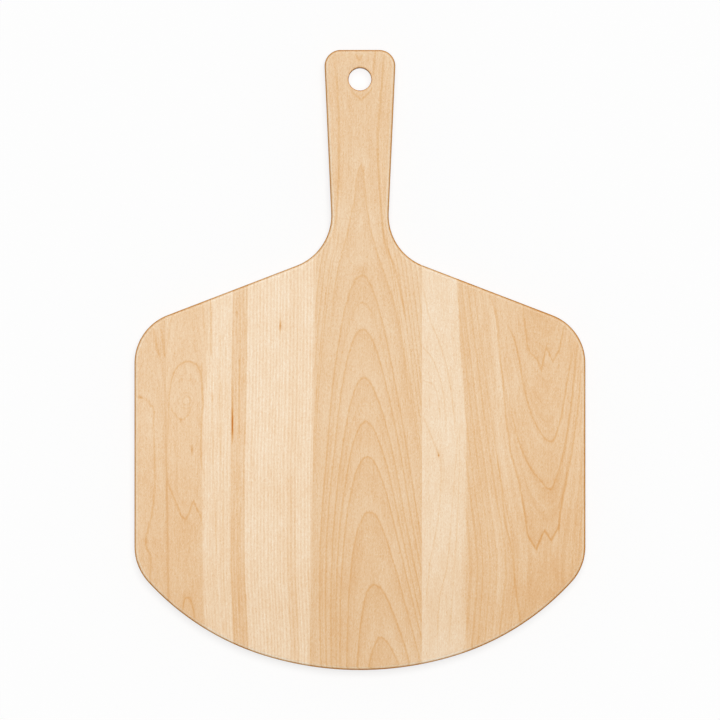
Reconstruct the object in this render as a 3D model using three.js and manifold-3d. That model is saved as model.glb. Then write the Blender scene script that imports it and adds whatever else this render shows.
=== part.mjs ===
// A paddle serving board: a maple panel glued up from four staves, sawn to a paddle outline with a short
// tapered handle, rounded over along every edge and drilled for hanging.
// Millimetres, +Z up. The origin is under the middle of the board, on the surface that it lies on;
// X runs across the blade and Y along the board, towards the handle's tip.

import * as THREE from 'three';
import { mergeVertices } from 'three/addons/utils/BufferGeometryUtils.js';
import Module from 'manifold-3d';

const wasm = await Module();
wasm.setup();

// Panel
const OVERALL_LENGTH = 489;
const BLADE_WIDTH = 355.6;
const THICKNESS = 16;
const EDGE_ROUND = 3;

// Handle
const HANDLE_LENGTH = 159.1; // tip to the corner where the handle's side meets the shoulder
const TIP_WIDTH = 57;
const NECK_WIDTH = 42.7; // at that same corner, before it is rounded
const TIP_CORNER_RADIUS = 12.7;
const NECK_RADIUS = 42.5;

// Hanging hole
const HOLE_DIAMETER = 18;
const HOLE_FROM_TIP = 23;
const HOLE_EDGE_ROUND = 0.8;

// Blade
const SHOULDER_SLOPE = 21; // degrees below square to the handle
const SHOULDER_CORNER_RADIUS = 40.5;
const NOSE_CORNER_RADIUS = 41.5;
const NOSE_DEPTH = 97.4; // end of the straight side to the lowest point of the nose
const NOSE_RADIUS = 255; // the flat middle of the nose
const NOSE_ARC = 17.25; // degrees that the middle arc reaches each side, where the tighter flanks begin

// Staves and glue
const EDGE_STAVE_WIDTH = 24.7; // across the middle of the board
const EDGE_JOINT_LEAN = 0.72; // degrees from the board's length
const LEFT_CHEEK = 3.4; // of the handle's stave beyond the tip, on the left
const LEFT_JOINT_LEAN = -0.93;
const RIGHT_CHEEK = 20.35;
const GLUE_THICKNESS = 0.2;
const GLUE_CLEARANCE = 0.05; // glue to wood, each side

// Facets
const ARC_DIVISIONS = 8;
const ROUND_SEGMENTS = 4;
const HOLE_SEGMENTS = 48;
const CUT_MARGIN = 5; // how far cutting solids reach past the panel

const tipY = OVERALL_LENGTH / 2;
const noseY = -OVERALL_LENGTH / 2;
const halfBlade = BLADE_WIDTH / 2;
const halfTip = TIP_WIDTH / 2;

// The arc that rounds the corner between two straight runs, tangent to both
function roundCorner(path, before, corner, after, radius) {
  const back = before.clone().sub(corner).normalize();
  const on = after.clone().sub(corner).normalize();
  const halfAngle = Math.acos(back.dot(on)) / 2;
  const reach = radius / Math.tan(halfAngle);
  const start = corner.clone().addScaledVector(back, reach);
  const end = corner.clone().addScaledVector(on, reach);
  const bisector = back.clone().add(on).normalize();
  const centre = corner.clone().addScaledVector(bisector, radius / Math.sin(halfAngle));
  const clockwise = back.cross(on) > 0;
  path.lineTo(start.x, start.y);
  arcBetween(path, centre, start, end, clockwise);
}

function arcBetween(path, centre, start, end, clockwise) {
  const startAngle = Math.atan2(start.y - centre.y, start.x - centre.x);
  const endAngle = Math.atan2(end.y - centre.y, end.x - centre.x);
  path.absarc(centre.x, centre.y, start.distanceTo(centre), startAngle, endAngle, clockwise);
}

// The nose, down from the straight side: a corner arc, a flank arc and half of the middle arc, each tangent
// to the next. The flank's radius follows from the other sizes.
function addNose(path) {
  const cornerCentre = new THREE.Vector2(halfBlade - NOSE_CORNER_RADIUS, noseY + NOSE_DEPTH);
  const middleCentre = new THREE.Vector2(0, noseY + NOSE_RADIUS);
  const lowest = new THREE.Vector2(0, noseY);
  const reach = THREE.MathUtils.degToRad(NOSE_ARC);
  const outward = new THREE.Vector2(Math.sin(reach), -Math.cos(reach));
  const join = middleCentre.clone().addScaledVector(outward, NOSE_RADIUS);
  const span = join.clone().sub(cornerCentre);
  const flankRadius =
    (span.lengthSq() - NOSE_CORNER_RADIUS ** 2) / (2 * (span.dot(outward) - NOSE_CORNER_RADIUS));
  const flankCentre = join.clone().addScaledVector(outward, -flankRadius);
  const toCorner = cornerCentre.clone().sub(flankCentre).normalize();
  const cornerEnd = cornerCentre.clone().addScaledVector(toCorner, NOSE_CORNER_RADIUS);
  const sideEnd = new THREE.Vector2(halfBlade, cornerCentre.y);
  path.lineTo(sideEnd.x, sideEnd.y);
  arcBetween(path, cornerCentre, sideEnd, cornerEnd, true);
  arcBetween(path, flankCentre, cornerEnd, join, true);
  arcBetween(path, middleCentre, join, lowest, true);
}

// The paddle's outline: the right half from the tip down to the nose, and its mirror image
function paddleOutline() {
  const tip = new THREE.Vector2(0, tipY);
  const tipCorner = new THREE.Vector2(halfTip, tipY);
  const neckCorner = new THREE.Vector2(NECK_WIDTH / 2, tipY - HANDLE_LENGTH);
  const shoulderDrop = (halfBlade - neckCorner.x) * Math.tan(THREE.MathUtils.degToRad(SHOULDER_SLOPE));
  const shoulderCorner = new THREE.Vector2(halfBlade, neckCorner.y - shoulderDrop);
  const sideEnd = new THREE.Vector2(halfBlade, noseY);
  const path = new THREE.Path();
  path.moveTo(tip.x, tip.y);
  roundCorner(path, tip, tipCorner, neckCorner, TIP_CORNER_RADIUS);
  roundCorner(path, tipCorner, neckCorner, shoulderCorner, NECK_RADIUS);
  roundCorner(path, neckCorner, shoulderCorner, sideEnd, SHOULDER_CORNER_RADIUS);
  addNose(path);
  const right = path.getPoints(ARC_DIVISIONS);
  const left = right.slice(1, -1).map((point) => new THREE.Vector2(-point.x, point.y));
  return new THREE.Shape([...right, ...left.reverse()]);
}

// Closed geometry to a solid that can be cut, and back
function solidFrom(geometry) {
  geometry.deleteAttribute('normal');
  geometry.deleteAttribute('uv');
  const merged = mergeVertices(geometry);
  const vertProperties = merged.attributes.position.array;
  const triVerts = Uint32Array.from(merged.index.array);
  return new wasm.Manifold(new wasm.Mesh({ numProp: 3, vertProperties, triVerts }));
}

function geometryFrom(solid) {
  const { vertProperties, triVerts } = solid.getMesh();
  const geometry = new THREE.BufferGeometry();
  geometry.setAttribute('position', new THREE.BufferAttribute(vertProperties, 3));
  geometry.setIndex(new THREE.BufferAttribute(triVerts, 1));
  geometry.computeVertexNormals();
  return geometry;
}

// The whole panel, rounded over along both faces
function panelSolid() {
  const geometry = new THREE.ExtrudeGeometry(paddleOutline(), {
    depth: THICKNESS - 2 * EDGE_ROUND,
    bevelThickness: EDGE_ROUND,
    bevelSize: EDGE_ROUND,
    bevelOffset: -EDGE_ROUND,
    bevelSegments: ROUND_SEGMENTS,
  });
  return solidFrom(geometry.translate(0, 0, EDGE_ROUND));
}

// What the drill and the easing of its two edges take out of the handle
function holeSolid() {
  const radius = HOLE_DIAMETER / 2;
  const mouth = radius + HOLE_EDGE_ROUND;
  const profile = new THREE.Path();
  profile.moveTo(0, -CUT_MARGIN);
  profile.lineTo(mouth, -CUT_MARGIN);
  profile.lineTo(mouth, 0);
  profile.absarc(mouth, HOLE_EDGE_ROUND, HOLE_EDGE_ROUND, -Math.PI / 2, -Math.PI, true);
  profile.lineTo(radius, THICKNESS - HOLE_EDGE_ROUND);
  profile.absarc(mouth, THICKNESS - HOLE_EDGE_ROUND, HOLE_EDGE_ROUND, Math.PI, Math.PI / 2, true);
  profile.lineTo(mouth, THICKNESS + CUT_MARGIN);
  profile.lineTo(0, THICKNESS + CUT_MARGIN);
  const geometry = new THREE.LatheGeometry(profile.getPoints(ROUND_SEGMENTS / 2), HOLE_SEGMENTS);
  geometry.rotateX(Math.PI / 2);
  return solidFrom(geometry.translate(0, tipY - HOLE_FROM_TIP, 0));
}

// A glue joint's line across the panel: the X where it lies at a given Y
function jointLine(x, y, leanDegrees) {
  const lean = Math.tan(THREE.MathUtils.degToRad(leanDegrees));
  return (level) => x + (y - level) * lean;
}

const edgeJoint = jointLine(-halfBlade + EDGE_STAVE_WIDTH, 0, EDGE_JOINT_LEAN);
const leftJoint = jointLine(-halfTip - LEFT_CHEEK, tipY, LEFT_JOINT_LEAN);
const rightJoint = jointLine(halfTip + RIGHT_CHEEK, tipY, 0);
const leftOfPanel = jointLine(-halfBlade - CUT_MARGIN, 0, 0);
const rightOfPanel = jointLine(halfBlade + CUT_MARGIN, 0, 0);

// The strip of the panel between two lines, each moved along X
function strip(panel, leftLine, leftMove, rightLine, rightMove) {
  const top = tipY + CUT_MARGIN;
  const bottom = noseY - CUT_MARGIN;
  const outline = new THREE.Shape();
  outline.moveTo(leftLine(bottom) + leftMove, bottom);
  outline.lineTo(rightLine(bottom) + rightMove, bottom);
  outline.lineTo(rightLine(top) + rightMove, top);
  outline.lineTo(leftLine(top) + leftMove, top);
  const geometry = new THREE.ExtrudeGeometry(outline, {
    depth: THICKNESS + 2 * CUT_MARGIN,
    bevelEnabled: false,
  });
  return panel.intersect(solidFrom(geometry.translate(0, 0, -CUT_MARGIN)));
}

function stave(panel, leftLine, rightLine) {
  const seat = GLUE_THICKNESS / 2 + GLUE_CLEARANCE;
  return strip(panel, leftLine, seat, rightLine, -seat);
}

function glueLine(panel, line) {
  return strip(panel, line, -GLUE_THICKNESS / 2, line, GLUE_THICKNESS / 2);
}

function piece(name, solid, color, roughness) {
  const material = new THREE.MeshStandardMaterial({ color, roughness, metalness: 0 });
  const mesh = new THREE.Mesh(geometryFrom(solid), material);
  mesh.name = name;
  return mesh;
}

const MAPLE_ROUGHNESS = 0.45;
const GLUE_ROUGHNESS = 0.5;
const GLUE_COLOR = 0xdcb283;
const panel = panelSolid();

const board = new THREE.Group();
board.name = 'paddle_serving_board';
board.add(
  piece('left_edge_stave', stave(panel, leftOfPanel, edgeJoint), 0xebcaa4, MAPLE_ROUGHNESS),
  piece('left_stave', stave(panel, edgeJoint, leftJoint), 0xeed0ab, MAPLE_ROUGHNESS),
  piece('handle_stave', stave(panel, leftJoint, rightJoint).subtract(holeSolid()), 0xe7c196, MAPLE_ROUGHNESS),
  piece('right_stave', stave(panel, rightJoint, rightOfPanel), 0xe9c79e, MAPLE_ROUGHNESS),
  piece('left_edge_glue_line', glueLine(panel, edgeJoint), GLUE_COLOR, GLUE_ROUGHNESS),
  piece('left_glue_line', glueLine(panel, leftJoint), GLUE_COLOR, GLUE_ROUGHNESS),
  piece('right_glue_line', glueLine(panel, rightJoint), GLUE_COLOR, GLUE_ROUGHNESS),
);

export default board;
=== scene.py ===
"""A maple paddle serving board lying on a pale studio floor, seen from straight above.

Lengths are in millimetres unless a name says otherwise, and meshes are scaled to metres as they are made.
X runs across the blade, Y along the board towards the handle's tip, and Z up out of the serving face.
"""

import math

import bmesh
import bpy
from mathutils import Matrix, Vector


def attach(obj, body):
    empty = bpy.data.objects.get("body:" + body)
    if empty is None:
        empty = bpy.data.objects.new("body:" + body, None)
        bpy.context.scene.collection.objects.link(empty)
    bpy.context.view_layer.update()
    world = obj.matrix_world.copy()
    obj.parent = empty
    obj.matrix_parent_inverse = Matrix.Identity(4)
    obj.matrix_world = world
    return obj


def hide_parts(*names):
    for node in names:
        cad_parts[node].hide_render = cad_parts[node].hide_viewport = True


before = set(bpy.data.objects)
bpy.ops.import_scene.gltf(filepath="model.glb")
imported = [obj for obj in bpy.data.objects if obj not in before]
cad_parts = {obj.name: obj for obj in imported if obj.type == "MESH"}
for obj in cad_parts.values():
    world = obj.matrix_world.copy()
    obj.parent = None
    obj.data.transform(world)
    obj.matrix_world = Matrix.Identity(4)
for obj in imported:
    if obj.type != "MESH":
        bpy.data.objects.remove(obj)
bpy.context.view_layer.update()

MM = 0.001

# Panel
LENGTH = 489
BLADE_WIDTH = 355.6
THICKNESS = 16
EDGE_ROUND = 3
TIP_Y = LENGTH / 2
NOSE_Y = -LENGTH / 2
HALF_BLADE = BLADE_WIDTH / 2

# Handle
HANDLE_LENGTH = 159.1
HALF_TIP = 28.5
HALF_NECK = 21.35
TIP_CORNER_RADIUS = 12.7
NECK_RADIUS = 42.5

# Hanging hole
HOLE_RADIUS = 9
HOLE_Y = TIP_Y - 23
HOLE_EDGE_ROUND = 0.8

# Blade
SHOULDER_SLOPE = math.radians(21)
SHOULDER_CORNER_RADIUS = 40.5
NOSE_CORNER_RADIUS = 41.5
NOSE_DEPTH = 97.4
NOSE_RADIUS = 255
NOSE_ARC = math.radians(17.25)

# Joints: where each crosses a level of Y, and its lean from the board's length
EDGE_JOINT = (-HALF_BLADE + 24.7, 0, math.radians(0.72))
LEFT_JOINT = (-HALF_TIP - 3.4, TIP_Y, math.radians(-0.93))
RIGHT_JOINT = (HALF_TIP + 20.35, TIP_Y, 0)
SEAT = 0.15  # half the gap between two staves, which the glue fills
HALF_GLUE = 0.149

# Fineness of the meshes
ARC_STEP = math.radians(1.5)
ROUND_STEPS = 8
EASING_STEPS = 5
HOLE_STEPS = 96
SHARP_EDGE = math.radians(40)
FLAT_FACE_WEIGHT = 90


# Outline

def arc(centre, radius, start, sweep):
    """Points and outward normals along an arc. A sweep below zero bulges out of the board."""
    steps = max(2, math.ceil(abs(sweep) / ARC_STEP))
    outward = 1.0 if sweep < 0 else -1.0
    found = []
    for step in range(steps + 1):
        angle = start + sweep * step / steps
        ray = Vector((math.cos(angle), math.sin(angle)))
        found.append((centre + ray * radius, ray * outward))
    return found


def arc_between(centre, start, end, bulges):
    """The arc about a centre from one point to another."""
    first = math.atan2(start.y - centre.y, start.x - centre.x)
    last = math.atan2(end.y - centre.y, end.x - centre.x)
    sweep = (last - first + math.pi) % (2 * math.pi) - math.pi
    assert (sweep < 0) == bulges
    return arc(centre, (start - centre).length, first, sweep)


def rounded_corner(before, corner, after, radius):
    """The arc that rounds a corner, tangent to the straight runs on both sides of it."""
    back = (before - corner).normalized()
    on = (after - corner).normalized()
    half_angle = back.angle(on) / 2
    reach = radius / math.tan(half_angle)
    centre = corner + (back + on).normalized() * (radius / math.sin(half_angle))
    bulges = back.x * on.y - back.y * on.x > 0
    return arc_between(centre, corner + back * reach, corner + on * reach, bulges)


def nose():
    """The corner arc, the flank arc and half of the middle arc of the nose, each tangent to the next."""
    corner_centre = Vector((HALF_BLADE - NOSE_CORNER_RADIUS, NOSE_Y + NOSE_DEPTH))
    middle_centre = Vector((0.0, NOSE_Y + NOSE_RADIUS))
    outward = Vector((math.sin(NOSE_ARC), -math.cos(NOSE_ARC)))
    join = middle_centre + outward * NOSE_RADIUS
    span = join - corner_centre
    excess = span.length_squared - NOSE_CORNER_RADIUS ** 2
    flank_radius = excess / (2 * (span.dot(outward) - NOSE_CORNER_RADIUS))
    flank_centre = join - outward * flank_radius
    corner_end = corner_centre + (corner_centre - flank_centre).normalized() * NOSE_CORNER_RADIUS
    side_end = Vector((HALF_BLADE, corner_centre.y))
    corner_run = arc_between(corner_centre, side_end, corner_end, True)
    flank_run = arc_between(flank_centre, corner_end, join, True)
    middle_run = arc_between(middle_centre, join, Vector((0.0, NOSE_Y)), True)
    return corner_run + flank_run[1:] + middle_run[1:]


def paddle_outline():
    """The board's outline, clockwise from the middle of the tip: points and outward normals."""
    tip = Vector((0.0, TIP_Y))
    tip_corner = Vector((HALF_TIP, TIP_Y))
    neck_corner = Vector((HALF_NECK, TIP_Y - HANDLE_LENGTH))
    drop = (HALF_BLADE - HALF_NECK) * math.tan(SHOULDER_SLOPE)
    shoulder_corner = Vector((HALF_BLADE, neck_corner.y - drop))
    side_end = Vector((HALF_BLADE, NOSE_Y))
    right = [(tip, Vector((0.0, 1.0)))]
    right += rounded_corner(tip, tip_corner, neck_corner, TIP_CORNER_RADIUS)
    right += rounded_corner(tip_corner, neck_corner, shoulder_corner, NECK_RADIUS)
    right += rounded_corner(neck_corner, shoulder_corner, side_end, SHOULDER_CORNER_RADIUS)
    right += nose()
    mirror = [(Vector((-p.x, p.y)), Vector((-n.x, n.y))) for p, n in right[1:-1]]
    return right + mirror[::-1]


# Meshes

def add_object(name, data):
    thing = bpy.data.objects.new(name, data)
    bpy.context.scene.collection.objects.link(thing)
    return thing


def quarter_round(radius, steps):
    """(inset, drop) pairs down a rounded edge, from the flat face to the upright side."""
    turns = [math.pi / 2 * step / steps for step in range(steps + 1)]
    return [(radius * (1 - math.sin(turn)), radius * (1 - math.cos(turn))) for turn in turns]


def edge_profile(radius, steps):
    """(inset, height) pairs from the serving face to the underside."""
    lower = quarter_round(radius, steps)
    upper = [(inset, THICKNESS - drop) for inset, drop in lower]
    return upper + lower[::-1]


def add_loops(mesh, outline, profile):
    """Loops of vertices round an outline at each step of an edge profile, joined by faces."""
    loops = []
    for inset, height in profile:
        places = [p - n * inset for p, n in outline]
        loops.append([mesh.verts.new((place.x * MM, place.y * MM, height * MM)) for place in places])
    for upper, lower in zip(loops, loops[1:]):
        for i in range(len(outline)):
            j = (i + 1) % len(outline)
            mesh.faces.new((upper[i], upper[j], lower[j], lower[i]))
    return loops


def loop_edges(mesh, loop):
    return [mesh.edges.get((loop[i - 1], loop[i])) for i in range(len(loop))]


def panel_mesh():
    """The whole board before it is parted into staves: rounded over, with its hole drilled and eased."""
    mesh = bmesh.new()
    turns = [2 * math.pi * step / HOLE_STEPS for step in range(HOLE_STEPS)]
    rays = [Vector((math.cos(turn), math.sin(turn))) for turn in turns]
    hole = [(Vector((0.0, HOLE_Y)) + ray * HOLE_RADIUS, -ray) for ray in rays]
    outer = add_loops(mesh, paddle_outline(), edge_profile(EDGE_ROUND, ROUND_STEPS))
    inner = add_loops(mesh, hole, edge_profile(HOLE_EDGE_ROUND, EASING_STEPS))
    for level in (0, -1):
        edges = loop_edges(mesh, outer[level]) + loop_edges(mesh, inner[level])
        bmesh.ops.triangle_fill(mesh, use_beauty=True, use_dissolve=False, edges=edges)
    bmesh.ops.recalc_face_normals(mesh, faces=mesh.faces)
    return mesh


def cut_along(mesh, joint, move, keep_right):
    """Parts the mesh along a joint moved across by a distance, keeps one side and closes the cut."""
    x, y, lean = joint
    place = Vector(((x + move) * MM, y * MM, 0.0))
    across = Vector((1.0, math.tan(lean), 0.0)).normalized()
    geometry = mesh.verts[:] + mesh.edges[:] + mesh.faces[:]
    cut = bmesh.ops.bisect_plane(
        mesh,
        geom=geometry,
        plane_co=place,
        plane_no=across,
        clear_inner=keep_right,
        clear_outer=not keep_right,
    )
    edges = [part for part in cut["geom_cut"] if isinstance(part, bmesh.types.BMEdge)]
    bmesh.ops.holes_fill(mesh, edges=edges, sides=0)


def add_strip(name, left, left_move, right, right_move, material):
    """The part of the board between two joints, as a piece that stands for its plain solid."""
    mesh = panel_mesh()
    if left:
        cut_along(mesh, left, left_move, True)
    if right:
        cut_along(mesh, right, right_move, False)
    bmesh.ops.recalc_face_normals(mesh, faces=mesh.faces)
    data = bpy.data.meshes.new(name + "_fine")
    mesh.to_mesh(data)
    mesh.free()
    data.shade_smooth()
    data.set_sharp_from_angle(angle=SHARP_EDGE)
    data.materials.append(material)
    piece = add_object(name + "_fine", data)
    weighted = piece.modifiers.new("flat_faces_stay_flat", "WEIGHTED_NORMAL")
    weighted.keep_sharp = True
    weighted.weight = FLAT_FACE_WEIGHT
    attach(piece, "root")
    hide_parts(name)


def add_stave(name, left, right, material):
    add_strip(name + "_stave", left, SEAT, right, -SEAT, material)


def add_glue(name, joint, material):
    add_strip(name + "_glue_line", joint, -HALF_GLUE, joint, HALF_GLUE, material)


# Fields

class Field:
    """A number that varies over a surface, held as one output of a material's nodes."""

    def __init__(self, tree, socket):
        self.tree = tree
        self.socket = socket

    def __add__(self, other):
        return calculate("ADD", self, other)

    __radd__ = __add__

    def __sub__(self, other):
        return calculate("SUBTRACT", self, other)

    def __rsub__(self, other):
        return calculate("SUBTRACT", other, self)

    def __mul__(self, other):
        return calculate("MULTIPLY", self, other)

    __rmul__ = __mul__

    def __truediv__(self, other):
        return calculate("DIVIDE", self, other)

    def __neg__(self):
        return calculate("MULTIPLY", self, -1.0)


def calculate(operation, *values):
    """One step of arithmetic over fields and plain numbers."""
    tree = next(value.tree for value in values if isinstance(value, Field))
    node = tree.nodes.new("ShaderNodeMath")
    node.operation = operation
    for socket, value in zip(node.inputs, values):
        connect(tree, value, socket)
    return Field(tree, node.outputs[0])


def connect(tree, value, socket):
    if isinstance(value, Field):
        tree.links.new(value.socket, socket)
    else:
        socket.default_value = value


def parts_of(tree, vector):
    """The X, Y and Z of a vector, as fields."""
    node = tree.nodes.new("ShaderNodeSeparateXYZ")
    tree.links.new(vector, node.inputs[0])
    return [Field(tree, output) for output in node.outputs]


def root(field):
    return calculate("SQRT", field)


def size_of(field):
    return calculate("ABSOLUTE", field)


def bell(field):
    """1 where the field is zero, falling smoothly to 0 by about 2 either side."""
    return calculate("EXPONENT", -(field * field))


def rise(field, low, high):
    """A smooth step from 0 at the low value to 1 at the high one."""
    node = field.tree.nodes.new("ShaderNodeMapRange")
    node.interpolation_type = "SMOOTHSTEP"
    connect(field.tree, field, node.inputs["Value"])
    connect(field.tree, low, node.inputs["From Min"])
    connect(field.tree, high, node.inputs["From Max"])
    return Field(field.tree, node.outputs["Result"])


def follow(field, knots, handles="AUTO_CLAMPED"):
    """A curve through (place, value) knots in rising order of place, level beyond both ends."""
    places, values = zip(*knots)
    span = places[-1] - places[0]
    lowest = min(values)
    height = max(max(values) - lowest, 1e-6)
    node = field.tree.nodes.new("ShaderNodeFloatCurve")
    curve = node.mapping.curves[0]
    spots = [((place - places[0]) / span, (value - lowest) / height) for place, value in knots]
    curve.points[0].location = spots[0]
    curve.points[1].location = spots[-1]
    for spot in spots[1:-1]:
        curve.points.new(*spot)
    for point in curve.points:
        point.handle_type = handles
    node.mapping.update()
    node.mapping.initialize()
    along = (field - places[0]) / span
    along.socket.node.use_clamp = True
    connect(field.tree, along, node.inputs["Value"])
    found = Field(field.tree, node.outputs["Value"]) * height + lowest
    found.at = lambda place: node.mapping.evaluate(curve, (place - places[0]) / span) * height + lowest
    return found


NOISE_ROUGHNESS = 0.55
SEED_STEPS = (3.1, 7.7, 5.3)  # how far one seed's noise lies from the next along X, Y and Z
BAND_SEED_STEP = 9.3
WANDER_SIZE = (2.5, 6, 4)
WANDER = 0.5  # how far lines and borders stray from their curves
SKIN = (2, 8)  # depths between which marks and lines of the serving face fade out
LINE_END_FADE = 0.06  # of a line's length


class Surface:
    """A material under construction, with the place and the facing of each point of its surface."""

    def __init__(self, name, seed, tint=(0, 0, 0)):
        self.material = bpy.data.materials.new(name)
        self.tint = tint
        self.figure = 0.0  # how strongly lines of grain colour each point
        self.material.use_nodes = True
        self.tree = self.material.node_tree
        self.shader = self.tree.nodes["Principled BSDF"]
        self.seed = seed
        coordinates = self.tree.nodes.new("ShaderNodeTexCoord")
        scale = self.tree.nodes.new("ShaderNodeVectorMath")
        scale.operation = "SCALE"
        scale.inputs["Scale"].default_value = 1 / MM
        self.tree.links.new(coordinates.outputs["Object"], scale.inputs[0])
        self.place = scale.outputs[0]
        self.x, self.y, z = parts_of(self.tree, self.place)
        self.depth = THICKNESS - z
        self.facing = parts_of(self.tree, coordinates.outputs["Normal"])
        self.wander = self.noise(*WANDER_SIZE) * WANDER
        self.near_top = 1.0 - rise(self.depth, *SKIN)

    def noise_node(self, detail):
        """A noise texture, for which the seed moves on."""
        self.seed += 1.0
        node = self.tree.nodes.new("ShaderNodeTexNoise")
        node.inputs["Scale"].default_value = 1.0
        node.inputs["Detail"].default_value = detail
        node.inputs["Roughness"].default_value = NOISE_ROUGHNESS
        return node

    def noise(self, across, along, deep, detail=2.0, distortion=0.0):
        """Noise about zero, within about -1 to 1, in patches of the given sizes."""
        node = self.noise_node(detail)
        node.inputs["Distortion"].default_value = distortion
        scale = self.tree.nodes.new("ShaderNodeVectorMath")
        scale.operation = "MULTIPLY_ADD"
        scale.inputs[1].default_value = (1 / across, 1 / along, 1 / deep)
        scale.inputs[2].default_value = [self.seed * step for step in SEED_STEPS]
        self.tree.links.new(self.place, scale.inputs[0])
        self.tree.links.new(scale.outputs[0], node.inputs["Vector"])
        return Field(self.tree, node.outputs[0]) * 2.0 - 1.0

    def bands(self, field, width, detail=2.0):
        """Noise about zero that changes only with a field, in bands of the given width."""
        node = self.noise_node(detail)
        node.noise_dimensions = "1D"
        connect(self.tree, field / width + self.seed * BAND_SEED_STEP, node.inputs["W"])
        return Field(self.tree, node.outputs[0]) * 2.0 - 1.0

    def spot(self, x, y, half_width, half_length):
        """A soft spot, 1 at its middle, longer along the grain than across it."""
        across = (self.x - x) / half_width
        along = (self.y - y) / half_length
        return calculate("EXPONENT", -(across * across + along * along))

    def right_of(self, knots, softness):
        """0 on the left of a border that wanders along the board, 1 on its right. Knots are (y, x)."""
        offset = self.x - follow(self.y, knots) + self.wander * 2.0
        return rise(offset, -softness, softness)

    def trace(self, knots, across=False, jagged=False):
        """A line of grain through knots: how far each point is from it, and 1 beside it but 0 past
        its ends. Knots are (y, x) for a line along the board and (x, y) for one that crosses it."""
        along, sideways = (self.x, self.y) if across else (self.y, self.x)
        handles = "VECTOR" if jagged else "AUTO_CLAMPED"
        path = follow(along, knots, handles)
        lean = follow(along + 1.0, knots, handles) - path
        offset = (sideways - path) / root(lean * lean + 1.0) + self.wander
        low, high = knots[0][0], knots[-1][0]
        fade = (high - low) * LINE_END_FADE
        within = rise(along, low - fade, low + fade) * (1.0 - rise(along, high - fade, high + fade))
        return offset, within * self.near_top

    def line(self, knots, width, across=False, jagged=False):
        """A thin line of grain through knots, 1 at its middle."""
        offset, within = self.trace(knots, across, jagged)
        return self.mark(offset, within, width)

    def mark(self, offset, within, width):
        """The dark line along a trace, 1 at its middle, which also warms the colour there."""
        dark = bell(offset / width) * within
        self.figure += dark
        return dark

    def from_joint(self, joint):
        """How far to the right of a glue joint each point lies."""
        x, y, lean = joint
        return self.x - (x + (y - self.y) * math.tan(lean))


# Wood

# Tone is the mean of a colour's red, green and blue, each out of 255. Maple's colours lie along one line:
# from the palest sapwood down to a mineral streak, blue falls fastest and red slowest.
MIDDLE_TONE = 196.8
MIDDLE_COLOUR = (235.8, 199, 156)
COLOUR_SLOPE = (0.47, 0.99, 1.51)
DARKEST_TONE = 112
PALEST_TONE = 236
COLOUR_STOPS = 8
LINE_RICHNESS = 0.035  # how much more saturated a line of grain is than the wood beside it
RING_WARMTH = 0.08

# Towards the nose the wood turns darker, partly its own tone and partly painted shade, and painted shade
# dims its colour where the light falls off: (y, tone) and (y, brightness)
TONE_AND_SHADE_ALONG = [(-245, -5), (-195, -6.7), (-154, -4.2), (-107, -3), (-59, -0.8), (-12, 0)]
PAINTED_SHADE_ALONG = [(-245, 0.955), (-195, 0.966), (-154, 0.98), (-107, 0.99), (-50, 1)]


def linear(level):
    """A colour level out of 255, as the light it stands for."""
    share = level / 255.0
    if share <= 0.04045:
        return share / 12.92
    return ((share + 0.055) / 1.055) ** 2.4


def maple_colour(tone, tint):
    """The colour of a tone, moved by a stave's own tint, as red, green and blue light."""
    levels = zip(MIDDLE_COLOUR, COLOUR_SLOPE, tint)
    return [linear(middle + (tone - MIDDLE_TONE) * slope + shift) for middle, slope, shift in levels]


def colour_by_tone(surface, tone):
    """Maple's colour for each tone, dimmed by painted shade towards the nose and richer on lines of grain.
    """
    tree = surface.tree
    ramp = tree.nodes.new("ShaderNodeValToRGB")
    elements = ramp.color_ramp.elements
    while len(elements) < COLOUR_STOPS:
        elements.new(0.5)
    for step, element in enumerate(elements):
        element.position = step / (COLOUR_STOPS - 1)
        stop = DARKEST_TONE + (PALEST_TONE - DARKEST_TONE) * element.position
        element.color = (*maple_colour(stop, surface.tint), 1.0)
    connect(tree, (tone - DARKEST_TONE) / (PALEST_TONE - DARKEST_TONE), ramp.inputs[0])
    shaded_and_enriched = tree.nodes.new("ShaderNodeHueSaturation")
    tree.links.new(ramp.outputs["Color"], shaded_and_enriched.inputs["Color"])
    # painted shade: the colour dimmed towards the nose
    connect(tree, follow(surface.y, PAINTED_SHADE_ALONG), shaded_and_enriched.inputs["Value"])
    connect(tree, surface.figure * LINE_RICHNESS + 1.0, shaded_and_enriched.inputs["Saturation"])
    return shaded_and_enriched.outputs["Color"]


# Textures that all staves share: a patch's size across the grain, along it and into the wood, and how
# far each moves the tone
SPECK_SIZE = (0.7, 1.7, 1)
SPECK_TONE = 26
FIBRE_SIZE = (0.8, 12, 3)
FIBRE_TONE = 13
STREAK_SIZE = (2.6, 70, 8)
STREAK_TONE = 4
MOTTLE_SIZE = (16, 34, 12)
MOTTLE_TONE = 11
PORE_SIZE = (0.6, 3.6, 1.2)
PORE_TONE = 18
PORE_SHARE = (0.3, 0.6)  # noise between these levels turns into pores
SATIN_ROUGHNESS = 0.46
ROUGHNESS_SPREAD = 0.06
PORE_ROUGHNESS = 0.08
RELIEF = 0.02
WOOD_RELIEF_STRENGTH = 0.35
SPECK_RELIEF = 0.6
PORE_RELIEF = 1.5


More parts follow.
